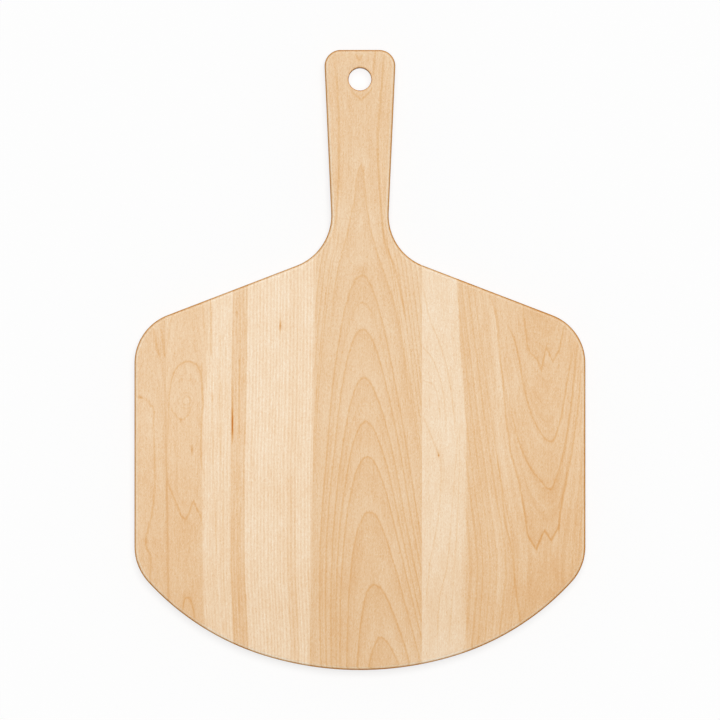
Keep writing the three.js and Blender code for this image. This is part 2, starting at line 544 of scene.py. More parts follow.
def finish_wood(surface, tone):
    """What all staves share over a stave's own tone: fibres, specks, pores, mottle, darkening towards the
    nose that is partly painted shade, edges with a painted highlight, and finish.
    """
    s = surface
    specks = s.noise(*SPECK_SIZE, detail=1.0, distortion=1.2)
    fibres = s.noise(*FIBRE_SIZE, detail=3.0)
    streaks = s.noise(*STREAK_SIZE)
    mottle = s.noise(*MOTTLE_SIZE)
    pores = rise(s.noise(*PORE_SIZE, detail=1.0), *PORE_SHARE)
    tone += specks * SPECK_TONE
    tone += fibres * FIBRE_TONE
    tone += streaks * STREAK_TONE
    tone += mottle * MOTTLE_TONE
    tone -= pores * PORE_TONE
    # darker towards the nose: partly the wood's own tone, partly painted shade where the light falls off
    tone += follow(s.y, TONE_AND_SHADE_ALONG)
    tone += edge_tone(s)
    roughness = SATIN_ROUGHNESS + (fibres + mottle) * ROUGHNESS_SPREAD + pores * PORE_ROUGHNESS
    relief = fibres + specks * SPECK_RELIEF - pores * PORE_RELIEF
    return finish(s, tone, roughness, relief, WOOD_RELIEF_STRENGTH)


def finish(surface, tone, roughness, relief, relief_strength):
    """Colour from tone, then roughness, sheen and a fine relief: what wood and glue share."""
    s = surface
    s.tree.links.new(colour_by_tone(s, tone), s.shader.inputs["Base Color"])
    connect(s.tree, roughness, s.shader.inputs["Roughness"])
    connect(s.tree, sheen(s), s.shader.inputs["Specular IOR Level"])
    bump = s.tree.nodes.new("ShaderNodeBump")
    bump.inputs["Strength"].default_value = relief_strength
    bump.inputs["Distance"].default_value = RELIEF * MM
    connect(s.tree, relief, bump.inputs["Height"])
    s.tree.links.new(bump.outputs["Normal"], s.shader.inputs["Normal"])
    return s.material


# Rounded edges: the tilts between which each part of the round comes or goes, and how it moves the tone
# Painted highlight: paler wood where the round begins, standing in for light on the round
HIGHLIGHT_STARTS = (0.002, 0.025)
HIGHLIGHT_ENDS = (0.12, 0.3)
RIM_PAINTED_HIGHLIGHT = 17
STEEP = (0.16, 0.38)
STEEP_DARKER = 48
SIDE = (0.55, 0.95)
SIDE_PALER = 38
FACING_END = (0.5, 0.95)
END_GRAIN_DARKER = 8
FACING_TIP = (0.05, 0.35)
TIP_HIGHLIGHT_LOSS = 0.75  # the share of the painted highlight that edges facing the tip lack, as the lamp lights them already


def tilt_of(surface):
    """How steep each point is: 0 on the flat faces and 1 on the upright sides."""
    return 1.0 - size_of(surface.facing[2])


def edge_tone(surface):
    """Where the edges are rounded over: a painted highlight where the round begins, paler wood standing in
    for light, then wood darkened by the cutter and the oil. End grain drinks more oil and is darker still."""
    tilt = tilt_of(surface)
    facing_tip = rise(surface.facing[1], *FACING_TIP)
    # painted highlight where the round begins, weaker on edges that face the tip
    painted_highlight = rise(tilt, *HIGHLIGHT_STARTS) * (1.0 - rise(tilt, *HIGHLIGHT_ENDS)) * (1.0 - facing_tip * TIP_HIGHLIGHT_LOSS)
    steep = rise(tilt, *STEEP)
    side = rise(tilt, *SIDE)
    end_grain = rise(size_of(surface.facing[1]), *FACING_END)
    return painted_highlight * RIM_PAINTED_HIGHLIGHT - steep * STEEP_DARKER + side * SIDE_PALER - end_grain * END_GRAIN_DARKER


SATIN_SHEEN = 0.25
EDGE_SHEEN = 0.03
SHEEN_FADE = (0.1, 0.4)


def sheen(surface):
    """How much the surface reflects: a satin face, and matt where the edges are rounded over."""
    return SATIN_SHEEN - rise(tilt_of(surface), *SHEEN_FADE) * (SATIN_SHEEN - EDGE_SHEEN)


# Growth rings: their slow and quick wobble, and the least slope of a ring's surface
SLOW_WOBBLE_SIZE = (10, 30, 10)
SLOW_WOBBLE = 0.16
QUICK_WOBBLE_SIZE = (2.2, 6, 4)
QUICK_WOBBLE = 0.09
LEAST_SLOPE = 0.015
SKEW_ROUND = 16


def growth(surface, axis, fall, pith, skew=0.0):
    """Growth rings round a pith that lies above the serving face. Gives each point's level, which is the
    same all over one ring and rises outwards, how fast the level changes along the surface, and a
    function for the level at the rings' axis, by place along the board."""
    s = surface
    u = s.x - follow(s.y, axis)
    if skew:
        u = u * (1.0 + skew / 2) + root(u * u + SKEW_ROUND) * (skew / 2)
    below = s.depth + pith
    reach = root(u * u + below * below)
    taper = follow(s.y, fall)
    taper_slope = follow(s.y + 1.0, fall) - taper
    slow = s.noise(*SLOW_WOBBLE_SIZE)
    quick = s.noise(*QUICK_WOBBLE_SIZE, detail=1.0)
    level = reach - pith + taper + slow * SLOW_WOBBLE + quick * QUICK_WOBBLE
    slope_x = u / reach
    slope_z = -(below / reach)
    out = slope_x * s.facing[0] + taper_slope * s.facing[1] + slope_z * s.facing[2]
    steepness = slope_x * slope_x + taper_slope * taper_slope + slope_z * slope_z - out * out
    slope = root(calculate("MAXIMUM", steepness, 0.0)) + LEAST_SLOPE
    return level, slope, taper.at


# Widths of grain lines and of the bands between them
HAIRLINE = 0.55
RING_LINE = 0.65
FINE_LINE = 0.7
GRAIN_LINE = 0.75
ZIGZAG_LINE = 0.8
BROAD_LINE = 0.85
LONG_LINE = 0.95
WIDE_BAND = 1.7
FINE_BAND = 0.5


def ring_lines(surface, level, slope, rings, width):
    """Dark lines where growth rings come to the surface, from (level, strength) pairs."""
    total = 0.0
    scale = slope * width
    for ring, strength in rings:
        total += bell((level - ring) / scale) * strength
    surface.figure += total * RING_WARMTH
    return total


RING_STEP = (-0.03, 0.2)  # from a ring's own level: between these, the wood turns from dark to pale
BEYOND_RINGS = 4


def ring_shade(level, rings, palest, darkest):
    """The wood between ring lines: pale on the outer side of each line, darkening out to the next."""
    levels = sorted(ring for ring, strength in rings)
    knots = [(levels[0] - BEYOND_RINGS, palest)]
    for ring in levels:
        knots += [(ring + RING_STEP[0], darkest), (ring + RING_STEP[1], palest)]
    knots.append((levels[-1] + BEYOND_RINGS, darkest))
    return follow(level, knots, "VECTOR")


DASH_SIZE = (2, 7, 3)
DASH_DEPTH = 0.9
HATCH_CONTRAST = 0.8
HATCH_DRIFT = 0.5


def hatching(surface, offset, spacing):
    """Fine close lines along a field, broken into dashes: growth rings cut across their layers."""
    s = surface
    phase = offset / spacing + s.bands(offset, spacing * 4.0, 1.0) * HATCH_DRIFT
    dashes = s.noise(*DASH_SIZE)
    return calculate("SINE", phase * (2 * math.pi)) * (HATCH_CONTRAST + dashes * DASH_DEPTH)


def grain_lines(surface, lines, width, across=False, jagged=False):
    """Dark lines of grain, from (knots, strength) pairs."""
    total = 0.0
    for knots, strength in lines:
        total += surface.line(knots, width, across, jagged) * strength
    return total


def marks(surface, spots):
    """Small dark flecks and knots near the serving face: (x, y, half width, half length, strength)."""
    total = 0.0
    for x, y, half_width, half_length, strength in spots:
        total += surface.spot(x, y, half_width, half_length) * strength
    return total * surface.near_top


# Handle stave
ARCH_AXIS = [(-245, 19.5), (-219.5, 16.5), (-177, 11.7), (-119, 7.4), (-76, 5.8), (0, 2.7), (76, 1.1),
             (245, 0)]
ARCH_FALL = [(-245, -18.15), (-100, -8), (50, 2.5), (76, 4.4), (92, 6), (126, 6.87), (150, 7.3),
             (185, 7.6), (205, 7.2), (215, 6.2), (235, 5), (245, 4.6)]
ARCH_PITH = 47
ARCH_APEXES = [66.5, 24.1, -14.5, -49.2, -76, -119.4, -176.9, -219.5]
ARCH_STRENGTHS = [11, 11, 12, 12, 12, 12, 13, 12]
FAINT_APEXES = [45.6, -33.2]
FAINT_STRENGTH = 5
TOP_ARCH = [(-23.3, 25.6), (-19.4, 60.3), (-14.7, 82.4), (-9.6, 102.1), (-6.8, 116.3), (-4.7, 124.2),
            (-2.9, 141.5), (-1.3, 149.2), (0.7, 152.5), (2.3, 149.2), (3.2, 144.6), (5, 125.7),
            (7.2, 110), (12.1, 90.3), (20.8, 63.5), (24.7, 52.4), (29.2, 35), (33.4, 12),
            (36.5, -10.6), (38.5, -32)]
LIMB_RINGS = [(9.6, 7), (10.4, 8), (12.4, 7), (14.3, 8), (16, 7), (18.5, 8), (21, 7), (23.5, 8)]
ARCH_MARKS = [(1.6, 71.5, 5, 4, 11), (1, 208, 6, 3, 4), (-0.5, 238, 2, 3, 5), (0.6, 147, 2.2, 7, 10)]
LONG_LINES = [
    ([(35.1, 35.8), (70.6, 27.9), (98.2, 19), (125.7, 16.1), (169.1, 14.1), (203, 16.1), (240, 19)], 15),
    ([(94.2, -21), (125.7, -17.8), (157.3, -16.6), (184.8, -16.6), (212.4, -17.8), (237.6, -19.8)], 11),
    ([(224.2, 10.5), (234.5, 11.3), (244, 12.6)], 12),
]
HANDLE_TONE = [(-60, -0.8), (0, 0.8), (40, 1.5), (96, 5), (140, 2.7), (175, 2)]
HOLE_LINES = [
    ([(-8.4, 214.8), (-3.6, 208.5), (1.1, 205.3), (5.8, 209.3), (10.2, 214.8)], 12),
    ([(-3.6, 240.8), (-0.5, 236.1), (2.3, 240.8)], 14),
]

HANDLE_SEED = 11
HANDLE_TINT = (-0.7, 0.5, 1.2)
HANDLE_BASE_TONE = 194.5
ONTO_HANDLE = (80, 130)  # levels of Y between which the blade's rings give way to the handle's
HANDLE_MIDDLE = 5
HANDLE_SIDES = (8, 26)  # from that middle
HANDLE_SIDES_PALER = 2.5
PALEST_RING = 5
DARKEST_RING = -3.8
RING_SHADE_LOSS = 0.8  # on the handle
HANDLE_BAND = 1.9
HANDLE_BAND_TONE = 3.8
HANDLE_FINE_TONE = 3.2
JOINT_GLEAM = 1.4  # how wide a strip beside the left joint is paler
JOINT_GLEAM_TONE = 5


def handle_maple():
    s = Surface("handle_maple", HANDLE_SEED, HANDLE_TINT)
    level, slope, taper_at = growth(s, ARCH_AXIS, ARCH_FALL, ARCH_PITH)
    rings = [(taper_at(apex), strength) for apex, strength in zip(ARCH_APEXES, ARCH_STRENGTHS)]
    faint = [(taper_at(apex), FAINT_STRENGTH) for apex in FAINT_APEXES]
    along_handle = rise(s.y, *ONTO_HANDLE)
    on_blade = 1.0 - along_handle
    sides = rise(size_of(s.x - HANDLE_MIDDLE), *HANDLE_SIDES) * on_blade
    shade = ring_shade(level, rings + LIMB_RINGS, PALEST_RING, DARKEST_RING)
    tone = HANDLE_BASE_TONE + follow(s.y, HANDLE_TONE) + sides * HANDLE_SIDES_PALER
    tone += shade * (1.0 - along_handle * RING_SHADE_LOSS)
    tone += s.bands(level, HANDLE_BAND) * HANDLE_BAND_TONE
    tone += s.bands(level, FINE_BAND) * HANDLE_FINE_TONE
    tone -= ring_lines(s, level, slope, rings + faint, RING_LINE)
    tone -= marks(s, ARCH_MARKS)
    tone -= ring_lines(s, level, slope, LIMB_RINGS, RING_LINE) * on_blade
    tone += top_arch(s)
    tone -= grain_lines(s, LONG_LINES, LONG_LINE)
    tone -= grain_lines(s, HOLE_LINES, ZIGZAG_LINE, across=True, jagged=True)
    tone += bell(s.from_joint(LEFT_JOINT) / JOINT_GLEAM) * JOINT_GLEAM_TONE
    return finish_wood(s, tone - hole_rim(s) * HOLE_RIM_DARKER)


TOP_ARCH_DARKER = 9
TOP_ARCH_SHADE = 8  # how far from its line the arch shades the wood
TOP_ARCH_PALER = 8.5  # outside the arch than inside
TOP_ARCH_INSIDE = 5.5
TOP_ARCH_EDGE = (-0.8, 0.8)


def top_arch(surface):
    """The tallest arch, which reaches up the handle: a dark line, with darker wood inside than outside."""
    s = surface
    arch, within = s.trace(TOP_ARCH, across=True)
    shade = rise(arch, *TOP_ARCH_EDGE) * TOP_ARCH_PALER - TOP_ARCH_INSIDE
    dark = s.mark(arch, within, GRAIN_LINE) * TOP_ARCH_DARKER
    return shade * bell(arch / TOP_ARCH_SHADE) * within - dark


HOLE_RIM_DARKER = 34
HOLE_RIM_MIDDLE = 0.25
HOLE_RIM_WIDTH = 0.6
HOLE_WALL = (0.05, 0.5)  # how level the edge is where the upright wall begins and ends


def hole_rim(surface):
    """1 on the eased edge of the hanging hole, which drill and oil have darkened, and 0 elsewhere."""
    s = surface
    along = s.y - HOLE_Y
    from_hole = root(s.x * s.x + along * along) - HOLE_RADIUS
    level_part = rise(size_of(s.facing[2]), *HOLE_WALL)
    return bell((from_hole - HOLE_RIM_MIDDLE) / HOLE_RIM_WIDTH) * level_part


# Right stave
VALLEY_AXIS = [(-245, 151), (60, 148.5)]
VALLEY_FALL = [(-245, -3.5), (-186, 0), (-165, 0.7), (-142, 0), (-102, -2.8), (-64, -5.5), (-1, -9.9),
               (60, -14.2)]
VALLEY_PITH = 79
VALLEY_SKEW = 0.6
VALLEY_RINGS = [(5.6, 8), (8.3, 11), (11.4, 8), (14, 11), (17, 10), (19.6, 9), (23, 8)]
UPPER_ZIGZAG = [(128.4, 39), (130.3, 25.6), (132.3, 9.9), (135.1, 4.4), (140.2, -0.4), (142.9, -8.2),
                (146.9, 9.9), (152, -1.2), (157.1, 7.5), (161.1, 26.4)]
LOWER_ZIGZAG = [(103.5, 49.3), (107.5, 33.5), (111.4, -5.9), (115.4, -47.6), (119.3, -75.2),
                (125.6, -96.5), (129.5, -118.6), (132.3, -138.3), (139, -149.3), (145.3, -134.3),
                (150.8, -142.2), (157.1, -130.4), (158.7, -114.6), (161.9, -98.9), (166.6, -75.2),
                (171.7, -39.8), (174.5, -9.8)]
VALLEYS = [
    ([(117.7, 25.6), (122.5, 13.8), (128.4, -16.1), (134.3, -39.8), (140.2, -53.2), (150, -64.2),
      (157.9, -47.6), (161.9, -25.6), (165.8, -4.3), (169, 13.8)], 15),
    ([(117.7, -31.9), (121.7, -51.6), (128.4, -72.9), (134.3, -84.7), (142.2, -94.9), (150, -102),
      (154, -94.9), (159.9, -75.2), (165.8, -39.8), (169.7, -4.3), (171.7, 13.8)], 15),
]
OUTER_LIMB = [(-206.8, 126.4), (-177.7, 122.5), (-147.7, 119.3), (-128, 114.6), (-98.9, 111.4),
              (-75.2, 107.5)]
VALLEY_MARKS = [(140.5, 35.5, 4.5, 4, 9), (61.95, -75.2, 0.5, 0.9, 60), (62, -74, 1.3, 2.4, 14),
                (146, -142, 7, 6, 10), (150.5, -186, 4, 6, 8)]
PALE_BORDER = [(-213, 84.4), (-189.5, 83.1), (-158, 83.8), (-63, 83.8), (-32, 82.3), (7.5, 79.1),
               (63, 76.6)]
PALE_VEINS = [
    ([(-55, 75.2), (-32, 72.8), (-8, 68.9), (18, 61), (31, 55.5), (57, 49.6)], 12),
    ([(-60, 68), (-32, 66.5), (-4, 59.4), (11, 49.5)], 12),
    ([(-45, 63), (-33, 62), (-20, 58), (-16, 49.5)], 11),
    ([(-75, 62.2), (-66, 58.5), (-52, 53), (-45, 50)], 13),
    ([(-187, 52.3), (-158, 55.5), (-138, 59.4), (-108, 63.3), (-79, 64.1)], 11),
    ([(-220, 61), (-195, 62), (-160, 69), (-120, 72.5), (-60, 77)], 9.5),
    ([(-226, 70), (-170, 74), (-110, 77.5), (-50, 79)], 8.5),
]

RIGHT_SEED = 47
RIGHT_TINT = (-0.5, 0.2, 0.4)
RIGHT_BASE_TONE = 215
HEARTWOOD_DARKER = 17.5
BESIDE_BORDER_DARKER = 3
SOFT_BORDER = (55, 110)  # how far below the middle the border of the pale wood turns soft
SOFT_SHARE = 0.6
CRISP_EDGE = (-0.8, 0.8)  # from the border
SOFT_EDGE = (-6, 3.5)
BESIDE_BORDER = 6
BESIDE_BORDER_WIDTH = 9
PALER_PLACE = -130  # a level of Y
PALER_LENGTH = 45
PALER_TONE = 2
DARKER_PLACE = 77  # a level of X
DARKER_WIDTH = 7
DARKER_TONE = 2
PALE_WIDE_TONE = 2  # how much bands show in the pale wood, and how much more in the heartwood
PALE_FINE_TONE = 2.2
HEART_WIDE_TONE = 6.5
HEART_FINE_TONE = 4
FAR_RIGHT = (105, 140)
FAR_RIGHT_DARKER = 5
FAR_RIGHT_LOW = (60, 110)
FAR_RIGHT_LOW_DARKER = 6
VALLEY_RING_LINE = 0.6
OUTER_LIMB_DARKER = 14


def right_maple():
    s = Surface("right_maple", RIGHT_SEED, RIGHT_TINT)
    level, slope, _ = growth(s, VALLEY_AXIS, VALLEY_FALL, VALLEY_PITH, VALLEY_SKEW)
    border = s.x - follow(s.y, PALE_BORDER) + s.wander
    towards_nose = rise(-s.y, *SOFT_BORDER)
    soft = towards_nose * SOFT_SHARE
    heart = rise(border, *CRISP_EDGE) * (1.0 - soft) + rise(border, *SOFT_EDGE) * soft
    beside_border = heart * bell((border - BESIDE_BORDER) / BESIDE_BORDER_WIDTH)
    far_right_low = rise(-s.y, *FAR_RIGHT_LOW) * FAR_RIGHT_LOW_DARKER
    tone = RIGHT_BASE_TONE - heart * HEARTWOOD_DARKER - beside_border * BESIDE_BORDER_DARKER
    tone -= rise(s.x, *FAR_RIGHT) * (FAR_RIGHT_DARKER + far_right_low)
    tone += bell((s.y - PALER_PLACE) / PALER_LENGTH) * PALER_TONE
    tone -= bell((s.x - DARKER_PLACE) / DARKER_WIDTH) * towards_nose * DARKER_TONE
    tone += s.bands(level, WIDE_BAND) * (PALE_WIDE_TONE + heart * HEART_WIDE_TONE)
    tone += s.bands(level, FINE_BAND) * (PALE_FINE_TONE + heart * HEART_FINE_TONE)
    tone -= ring_lines(s, level, slope, VALLEY_RINGS, VALLEY_RING_LINE) * heart
    tone -= zigzags(s)
    tone -= grain_lines(s, VALLEYS, GRAIN_LINE, across=True)
    tone -= s.line(OUTER_LIMB, FINE_LINE) * OUTER_LIMB_DARKER
    tone -= grain_lines(s, PALE_VEINS, HAIRLINE)
    tone -= marks(s, VALLEY_MARKS)
    return finish_wood(s, tone)


UPPER_ZIGZAG_DARKER = 17
UPPER_INSIDE = (-0.5, 1)  # from the line
UPPER_INSIDE_DARKER = 4.5
LOWER_ZIGZAG_DARKER = 14
LOWER_POINTS = (100, 130)  # how far below the middle the lower zigzag's points lie
LOWER_POINTS_DARKER = 9
LOWER_OUTSIDE = (-1.4, 0.4)
LOWER_OUTSIDE_PALER = 9
LOWER_OUTSIDE_WIDTH = 8


def zigzags(surface):
    """Two jagged rings, with darker wood inside the upper one and paler wood outside the lower one."""
    s = surface
    upper, upper_within = s.trace(UPPER_ZIGZAG, across=True, jagged=True)
    lower, lower_within = s.trace(LOWER_ZIGZAG, across=True, jagged=True)
    outside = (1.0 - rise(lower, *LOWER_OUTSIDE)) * bell(lower / LOWER_OUTSIDE_WIDTH) * lower_within
    lower_tone = LOWER_ZIGZAG_DARKER + rise(-s.y, *LOWER_POINTS) * LOWER_POINTS_DARKER
    dark = s.mark(upper, upper_within, ZIGZAG_LINE) * UPPER_ZIGZAG_DARKER
    dark += rise(upper, *UPPER_INSIDE) * upper_within * UPPER_INSIDE_DARKER
    return dark + s.mark(lower, lower_within, ZIGZAG_LINE) * lower_tone - outside * LOWER_OUTSIDE_PALER


# Left stave
EYE_AXIS = [(-245, -136), (60, -136)]
EYE_FALL = [(-245, -3.5), (-187, 0), (-150, 0.8), (-126, 0), (-95, -2.7), (-32, -2.6), (-12, -1.3),
            (-2, 0), (30, 2.2), (60, 3.5)]
EYE_PITH = 30
EYE_DEEP_RINGS = [(5, 8), (8, 8), (11, 9), (14, 8), (17, 8)]
EYE_CENTRE = (-136.8, -32)
EYE_RINGS = [(1.4, -6), (3.4, 10), (6.2, 7)]
EYE_ARCH = [(-151.4, -51.6), (-150.5, -35.8), (-149.4, -21.6), (-146.5, -9.8), (-141.6, -3.5),
            (-135.6, -1.2), (-130.5, -2.7), (-127.8, -5.1), (-125, -13.8), (-123.8, -31.9)]
EYE_LIMB = [(-91, -122.9), (-71.3, -125.2), (-47.6, -125), (-31.9, -123.8), (-20.9, -124.2)]
EYE_CRADLE = [(-148.7, -37.4), (-144.7, -44.5), (-140.8, -46.9), (-136.8, -44.5), (-132.9, -37.4)]
LOW_ZIGZAG = [(-151.4, -94.9), (-150.5, -99.7), (-144.7, -112.7), (-140.8, -123.3), (-137.6, -125.7),
              (-134.7, -120.5), (-131.3, -111.5), (-127.8, -118.6), (-125, -124.5), (-123.8, -132.4)]
LOW_ARCH = [(-139.6, -194.2), (-136.8, -187.5), (-134.7, -187.9), (-131.7, -195.4), (-129.7, -205.3)]
SAP_BORDER = [(-213, -121.5), (-190, -123.2), (-108, -124.2), (-48, -123.7), (-15, -122), (23, -121.5),
              (60, -121)]
SAP_VEINS = [
    ([(3.6, -117.5), (27.2, -117.4), (46.9, -117.5)], 22),
    ([(-20, -121), (5, -122), (30, -123)], 7),
    ([(-80, -109.6), (-40, -110.4), (20, -109.8)], 13),
    ([(-150, -113), (-80, -115.4), (-10, -116.6)], 10),
    ([(-190, -107), (-120, -108), (-60, -107)], 7),
]
HEART_LEFT = [(-217, -99.5), (-189.5, -100.4), (-150, -101.4), (-79, -101.4), (55, -100)]
HEART_RIGHT = [(-225, -88), (-189.5, -89.6), (-150, -90.8), (-79, -90.8), (-63, -90.2), (-8, -89.1),
               (55, -88.4)]
HEART_LINES = [
    ([(-200, -95), (-120, -96), (-50, -94.6), (20, -94.2), (50, -95)], 6),
    ([(-60, -95.3), (-24, -95.1), (-3, -94.9)], 12),
    ([(-20, -91.4), (10, -91.2), (38, -90.6)], 9),
]
LEFT_MARKS = [(-100.5, -51, 0.64, 9.5, 90), (-100.3, -40, 0.9, 22, 24), (-62.8, 26.5, 0.7, 3.4, 44),
              (-62.6, 28.5, 0.9, 6.5, 16), (-141.2, -47.5, 1.2, 2, 24), (-132.4, -71, 0.9, 3.4, 34),
              (-116, -30, 0.7, 3.5, 16), (-135.3, -144.5, 0.7, 0.8, 16), (-97, 36.7, 0.9, 2.2, 20),
              (-94.9, -0.4, 0.8, 2, 18), (-92.3, 0.6, 0.8, 1.4, 16), (-94.6, 46, 3, 9, 4)]

LEFT_SEED = 83
LEFT_TINT = (0.4, 0, -0.6)
LEFT_BASE_TONE = 200.8
SAPWOOD_PALER = 14.8
LOW_EYE_WOOD = (70, 110)  # how far below the middle the wood left of the sapwood turns darker
LOW_EYE_DARKER = 4
LEFT_WIDE_TONE = 7  # how much bands show, and how much less past the heart streak
LEFT_FINE_TONE = 6
WIDE_TONE_LOSS = 5
FINE_TONE_LOSS = 3
HATCH_SPACING = 2.65
HATCH_PAST_HEART = 3
HATCH_SAPWOOD = 4.5
LEFT_ARCHES = [(EYE_ARCH, 15), (LOW_ARCH, 18)]
EYE_LIMB_DARKER = 12
EYE_CRADLE_DARKER = 10
LOW_ZIGZAG_DARKER = 16


def left_maple():
    s = Surface("left_maple", LEFT_SEED, LEFT_TINT)
    level, slope, _ = growth(s, EYE_AXIS, EYE_FALL, EYE_PITH)
    sap = sapwood(s)
    from_heart = s.x - follow(s.y, HEART_RIGHT)
    past_heart = rise(from_heart, -HEART_EDGE, HEART_EDGE)
    tone = LEFT_BASE_TONE + sap * SAPWOOD_PALER + past_heart
    tone -= rise(-s.y, *LOW_EYE_WOOD) * (1.0 - sap) * LOW_EYE_DARKER
    tone += s.bands(level, WIDE_BAND) * (LEFT_WIDE_TONE - past_heart * WIDE_TONE_LOSS)
    tone += s.bands(level, FINE_BAND) * (LEFT_FINE_TONE - past_heart * FINE_TONE_LOSS)
    hatched = past_heart * HATCH_PAST_HEART + sap * HATCH_SAPWOOD
    tone += hatching(s, from_heart, HATCH_SPACING) * hatched
    tone -= heart_streak(s, from_heart, past_heart)
    tone -= dark_band(s, from_heart)
    tone -= eye(s)
    tone -= grain_lines(s, LEFT_ARCHES, GRAIN_LINE, across=True)
    tone -= s.line(EYE_LIMB, GRAIN_LINE) * EYE_LIMB_DARKER
    tone -= s.line(EYE_CRADLE, FINE_LINE, across=True) * EYE_CRADLE_DARKER
    tone -= s.line(LOW_ZIGZAG, GRAIN_LINE, across=True, jagged=True) * LOW_ZIGZAG_DARKER
    tone -= grain_lines(s, SAP_VEINS, HAIRLINE)
    tone -= marks(s, LEFT_MARKS)
    tone -= ring_lines(s, level, slope, EYE_DEEP_RINGS, RING_LINE) * (1.0 - sap)
    return finish_wood(s, tone + left_joints(s))


SHOULDER_WOOD = (-25, 10)  # levels of Y between which the sapwood's border turns soft
SHOULDER_SOFTNESS = 6.5
SAP_SOFTNESS = 1.2
SAP_HALO = 5  # a wider, fainter edge over the crisp one
SAP_HALO_SHARE = 0.2


def sapwood(surface):
    """1 in the pale sapwood and 0 on its left. The border is crisp, but soft by the shoulder."""
    s = surface
    by_shoulder = rise(s.y, *SHOULDER_WOOD)
    halo = s.right_of(SAP_BORDER, SAP_HALO)
    crisp = s.right_of(SAP_BORDER, SAP_SOFTNESS) * (1.0 - SAP_HALO_SHARE) + halo * SAP_HALO_SHARE
    return crisp * (1.0 - by_shoulder) + s.right_of(SAP_BORDER, SHOULDER_SOFTNESS) * by_shoulder


HEART_EDGE = 0.7
HEART_DARKER = 15
HEART_LOW = (100, 200)
HEART_LOW_DARKER = 3
HEART_LEFT_LINE = 7
HEART_RIGHT_LINE = 6
PALE_LINE_AT = 1.4  # to the right of the streak
PALE_LINE_WIDTH = 0.6
PALE_LINE_PALER = 6


def heart_streak(surface, from_heart, past_heart):
    """How much darker the heart streak is, with its side lines, hairlines and a pale line beside it."""
    s = surface
    into_heart = s.x - follow(s.y, HEART_LEFT)
    heart = rise(into_heart, -HEART_EDGE, HEART_EDGE) * (1.0 - past_heart)
    dark = heart * (HEART_DARKER + rise(-s.y, *HEART_LOW) * HEART_LOW_DARKER)
    dark += bell(into_heart / HEART_EDGE) * HEART_LEFT_LINE
    dark += bell(from_heart / HEART_EDGE) * HEART_RIGHT_LINE
    pale = bell((from_heart + s.wander * 2.0 - PALE_LINE_AT) / PALE_LINE_WIDTH)
    return dark + grain_lines(s, HEART_LINES, HAIRLINE) - pale * PALE_LINE_PALER


BAND_LEFT = (31.8, 35.3)  # from the right side of the heart streak
BAND_RIGHT = (39.5, 41.5)
BAND_DARKER = 4
BAND_LOW = (60, 150)
BAND_LOW_DARKER = 6


def dark_band(surface, from_heart):
    """A soft darker band near the handle's stave, which deepens towards the nose."""
    left = rise(from_heart, *BAND_LEFT)
    right = rise(from_heart, *BAND_RIGHT)
    return left * (1.0 - right) * (BAND_DARKER + rise(-surface.y, *BAND_LOW) * BAND_LOW_DARKER)


EYE_NARROWING = 1.05
EYE_RAGGED_SIZE = (4, 4, 4)
EYE_RAGGED = 0.8


def eye(surface):
    """Small rings round the eye in the grain, dark and pale."""
    s = surface
    x = (s.x - EYE_CENTRE[0]) * EYE_NARROWING
    y = s.y - EYE_CENTRE[1]
    radius = root(x * x + y * y) + s.noise(*EYE_RAGGED_SIZE, detail=1.0) * EYE_RAGGED
    total = 0.0
    for ring, strength in EYE_RINGS:
        total += bell((radius - ring) / GRAIN_LINE) * strength
    return total * s.near_top


PALE_JOINT = (-35, -10)  # levels of Y above which the wood beside the edge joint is paler
PALE_JOINT_WIDTH = 7
PALE_JOINT_PALER = 4
LEFT_JOINT_WIDTH = 1.6
LEFT_JOINT_DARKER = 7


def left_joints(surface):
    """The wood of the left stave along its two joints."""
    s = surface
    pale = bell(s.from_joint(EDGE_JOINT) / PALE_JOINT_WIDTH) * rise(s.y, *PALE_JOINT)
    dark = bell(s.from_joint(LEFT_JOINT) / LEFT_JOINT_WIDTH)
    return pale * PALE_JOINT_PALER - dark * LEFT_JOINT_DARKER - edge_stain(s)


STAIN_DARKER = 10
STAIN_WIDTH = 1
STAIN_OFFSET = 0.4  # the stain's middle, to the left of the joint


def edge_stain(surface):
    """How much darker the stained wood along the left edge joint is."""
    from_stain = surface.from_joint(EDGE_JOINT) + STAIN_OFFSET
    return bell(from_stain / STAIN_WIDTH) * joint_stain(surface) * STAIN_DARKER


STAIN_LEAST = 0.1
STAIN_GROWS = (0, 90)  # below the middle
STAIN_GROWTH = 0.8
STAIN_DEEPENS = (75, 100)
STAIN_DEPTH = 0.9


def joint_stain(surface):
    """How strong the stain along the left edge joint is: weak by the shoulder, strong by the nose."""
    below = -surface.y
    grown = rise(below, *STAIN_GROWS) * STAIN_GROWTH
    return STAIN_LEAST + grown + rise(below, *STAIN_DEEPENS) * STAIN_DEPTH


# Left edge stave
EDGE_AXIS = [(-245, -175), (60, -168)]
EDGE_FALL = [(-245, -6), (60, 6)]
EDGE_PITH = 60
EDGE_RINGS = [(9, 8), (12, 8), (15, 8), (18, 8)]
EDGE_VEIN = [(-181.6, -164.4), (-170, -165.2), (-158, -164.8), (-151.7, -166.2), (-143.8, -168.7),
             (-134.3, -167.2), (-116.2, -163.2), (-91, -161.6), (-63.4, -162.3), (-47.6, -162.8),
             (-42.9, -162.1), (-35, -165.2), (-31, -169.2), (-29, -174)]
LEFT_FORK = [(2.8, -157.7), (11.5, -160.5), (23.3, -162.3)]
RIGHT_FORK = [(2, -153.6), (9.9, -154.4), (24.1, -156.6)]
EDGE_LINES = [(EDGE_VEIN, 13), (LEFT_FORK, 11), (RIGHT_FORK, 11)]
EDGE_MARKS = [(-173, -29.3, 1.7, 1.1, 32), (-158, 8, 2, 6, 8), (-168, -143, 1.3, 2.6, 12)]

